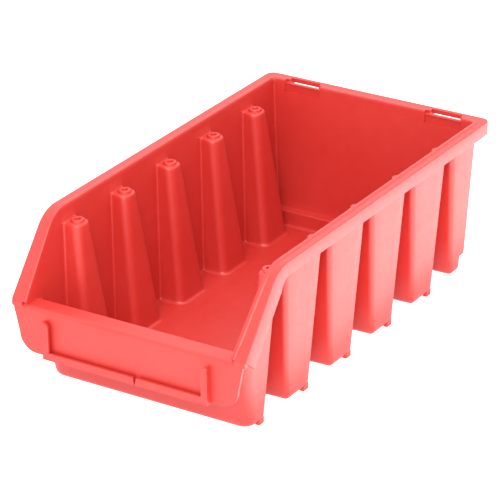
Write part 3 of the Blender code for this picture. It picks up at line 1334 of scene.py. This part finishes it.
@dataclass(frozen=True)
class Studio:
    """The floor, the lights and the camera."""

    camera_place: Point3 = (0.66365, -1.03606, 0.61469)
    azimuth: float = 32.79
    elevation: float = 25.14
    roll: float = -1.0
    lens: float = 220.8
    shift: float = -0.0016
    world: float = 1.8
    floor_tone: float = 0.5
    floor_glow: float = 1.05
    lights: tuple[SoftBox, ...] = (
        SoftBox("key_front", (0.60, -1.05, 0.95), (0.0, 0.0, 0.04), 0.7, 22.0),
        SoftBox("top", (0.0, 0.1, 1.3), (0.0, 0.0, 0.0), 0.8, 5.0),
        SoftBox("low_card_right", (0.34, 0.16, 0.002), (0.34, 0.16, 1.0), 0.55, 2.2),
    )

    def build(self) -> None:
        """Add everything that isn't the bin."""
        self.build_world()
        self.build_floor()
        for light in self.lights:
            light.build()
        self.build_camera()
        bpy.context.scene.view_settings.view_transform = "Standard"

    def build_world(self) -> None:
        """Fill the surroundings with white light."""
        world = bpy.data.worlds.new("studio")
        world.use_nodes = True
        shader = world.node_tree.nodes["Background"]
        shader.inputs["Color"].default_value = (1.0, 1.0, 1.0, 1.0)
        shader.inputs["Strength"].default_value = self.world
        bpy.context.scene.world = world

    def build_floor(self) -> None:
        """Lay the floor."""
        bm = bmesh.new()
        reach = 6.0
        corners = [(-reach, -reach), (reach, -reach), (reach, reach), (-reach, reach)]
        bm.faces.new([bm.verts.new((x, y, 0.0)) for x, y in corners])
        mesh = bpy.data.meshes.new("floor")
        bm.to_mesh(mesh)
        bm.free()
        floor = bpy.data.objects.new("floor", mesh)
        bpy.context.scene.collection.objects.link(floor)
        graph = Graph("studio_floor")
        graph.shader.inputs["Base Color"].default_value = (self.floor_tone,) * 3 + (1.0,)
        graph.shader.inputs["Roughness"].default_value = 0.9
        graph.shader.inputs["Emission Color"].default_value = (1.0, 1.0, 1.0, 1.0)
        graph.shader.inputs["Emission Strength"].default_value = self.floor_glow
        mesh.materials.append(graph.material)
        floor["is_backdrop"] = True

    def build_camera(self) -> None:
        """Place the camera."""
        data = bpy.data.cameras.new("camera")
        data.lens = self.lens
        data.sensor_width = 36.0
        data.shift_x = self.shift
        data.clip_start = 0.05
        data.clip_end = 30.0
        camera = bpy.data.objects.new("camera", data)
        azimuth, elevation = math.radians(self.azimuth), math.radians(self.elevation)
        back = Vector((math.sin(azimuth) * math.cos(elevation), -math.cos(azimuth) * math.cos(elevation),
                       math.sin(elevation)))
        right = Vector((math.cos(azimuth), math.sin(azimuth), 0.0))
        up = back.cross(right)
        roll = math.radians(self.roll)
        tilted_right = right * math.cos(roll) + up * math.sin(roll)
        tilted_up = up * math.cos(roll) - right * math.sin(roll)
        turn = Matrix((tilted_right, tilted_up, back)).transposed().to_4x4()
        camera.matrix_world = Matrix.Translation(self.camera_place) @ turn
        bpy.context.scene.collection.objects.link(camera)
        bpy.context.scene.camera = camera


# --------------------------------------------------------------------------------------------------
# Assembly
# --------------------------------------------------------------------------------------------------


class StorageBin:
    """The whole bin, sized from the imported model."""

    RIB_COUNT = 5
    RECESS_FRONT = 96.0
    RECESS_BACK = 100.0
    RECESS_FOOT = 68.2

    def __init__(self, finish: bpy.types.Material) -> None:
        """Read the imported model's places."""
        self.finish = finish
        low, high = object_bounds()
        self.height = high[2] / MM
        self.half_width = high[0] / MM
        self.rear_y = high[1] / MM
        self.centres = []
        for number in range(1, self.RIB_COUNT + 1):
            rib_low, rib_high = node_box(f"right_rib_{number}")
            self.centres.append((rib_low.y + rib_high.y) / 2)
        self.walls = Walls()
        self.dip = Dip(self.height)
        self.ribs = Ribs(self.centres)

    def dress(self, obj: bpy.types.Object, *nodes: str) -> None:
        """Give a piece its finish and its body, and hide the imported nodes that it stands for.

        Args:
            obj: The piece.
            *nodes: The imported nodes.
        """
        obj.data.materials.clear()
        obj.data.materials.append(self.finish)
        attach(obj, BODY)
        if nodes:
            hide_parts(*nodes)
        LOG.info("%s stands for %d nodes", obj.name, len(nodes))

    def sided(self, *names: str) -> list[str]:
        """Give each name once for the right side and once for the left."""
        return [f"{side.word}_{name}" for side in Side for name in names]

    def build(self) -> None:
        """Make and dress every piece."""
        rim = Rim(self.walls, self.dip, self.half_width, self.rear_y)
        tub = Tub(self.walls, self.ribs, self.dip).build()
        self.sink_recesses(tub, rim)
        panels = [f"panel_{n}" for n in range(1, self.RIB_COUNT + 2)]
        ribs = [f"rib_{n}" for n in range(1, self.RIB_COUNT + 1)]
        self.dress(tub, "floor_panel", "front_wall", "rear_wall", "rear_step", "rear_foot_wall",
                   *self.sided(*panels, *ribs, "rear_corner", "front_corner"))
        self.dress(rim.build(), "rear_rim", *self.sided("rim", "dip_rim", "rim_corner"))
        shelf = FrontShelf(self.walls)
        self.dress(shelf.build(), "front_shelf", "label_plate")
        for side in Side:
            self.dress(shelf.ear(side, self.dip))
        holder = LabelHolder()
        for side in Side:
            self.dress(holder.guide(side), f"{side.word}_label_guide")
            self.dress(holder.sill(side), f"{side.word}_label_sill")
            for number, centre in enumerate(self.centres, start=1):
                self.dress(Foot(side, number).build(), f"{side.word}_foot_{number}")
                self.dress(RibBoss(side, number, centre, self.ribs.cap).build())

    def sink_recesses(self, tub: bpy.types.Object, rim: Rim) -> None:
        """Sink the shallow recess under each hanging slot into the rear wall.

        Args:
            tub: The tub to cut.
            rim: The rim, whose sunk strips are as wide as the recesses.
        """
        cutters = []
        for side in Side:
            x0, x1 = sorted((side.value * rim.sunk_inner, side.value * rim.sunk_outer))
            low = (x0, self.RECESS_FRONT, self.RECESS_FOOT)
            high = (x1, self.RECESS_BACK, Rim.CUT_TOP)
            cutters.append(block("recess", low, high))
        carve(tub, cutters)


def main() -> None:
    """Build the bin and the studio, logging how many imported nodes each piece stands for."""
    logging.basicConfig(level=logging.INFO, format="%(name)s: %(message)s")
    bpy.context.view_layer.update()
    StorageBin(MouldedRed().build()).build()
    Studio().build()
    bpy.context.view_layer.update()


if __name__ == "__main__":
    main()
